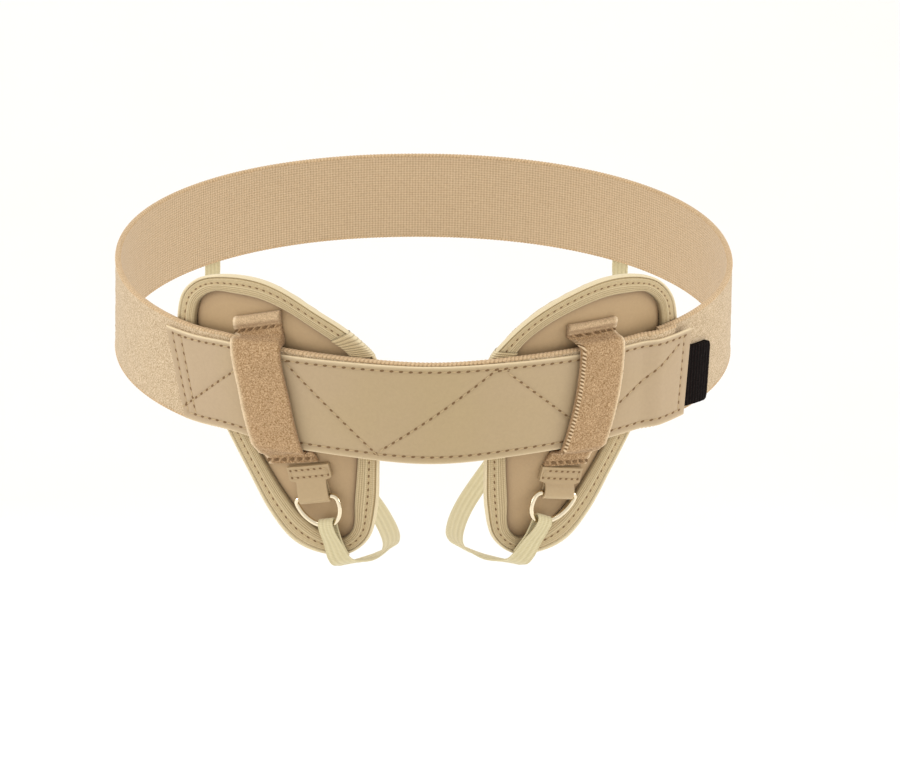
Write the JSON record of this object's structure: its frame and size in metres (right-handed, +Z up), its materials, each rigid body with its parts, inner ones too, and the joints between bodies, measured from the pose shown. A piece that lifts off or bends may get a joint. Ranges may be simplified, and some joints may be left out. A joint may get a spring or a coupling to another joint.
{
  "type": "hernia belt",
  "caption": "Elastic hip belt with a stitched leather front panel, teardrop groin pads on plush loops, D-rings and elastic leg straps, held in its worn form.",
  "frame": {"origin": "middle of the tilted loop that the belt makes round the hips", "axes": "+X to the viewer's right (the wearer's left), -Y to the front, +Z up; the loop dips at the front by 20.3 degrees"},
  "size_m": [0.3138, 0.2692, 0.2035],
  "materials": {
    "plush": "napped loop pile",
    "leather": "smooth, stitched",
    "binding": "ribbed, piped, stitched",
    "pad_cover": "brushed knit over foam",
    "hook_tape_black": "woven hook tape",
    "hook_tape_beige": "woven hook tape",
    "nickel": "bright nickel plate",
    "elastic": "ribbed narrow elastic"
  },
  "bodies": {
    "root": {"plush_band": "plush", "front_panel": "leather", "hook_tab": "hook_tape_black", "pad_cushion_left": "pad_cover", "pad_cushion_right": "pad_cover", "pad_binding_left": "binding", "pad_binding_right": "binding", "pad_panel_left": "leather", "pad_panel_right": "leather", "belt_loop_left": "plush", "belt_loop_right": "plush", "ring_tab_left": "leather", "ring_tab_right": "leather", "d_ring_left": "nickel", "d_ring_right": "nickel", "leg_strap_left": "elastic", "leg_strap_right": "elastic", "back_tab_left": "hook_tape_beige", "back_tab_right": "hook_tape_beige"}
  },
  "joints": []
}
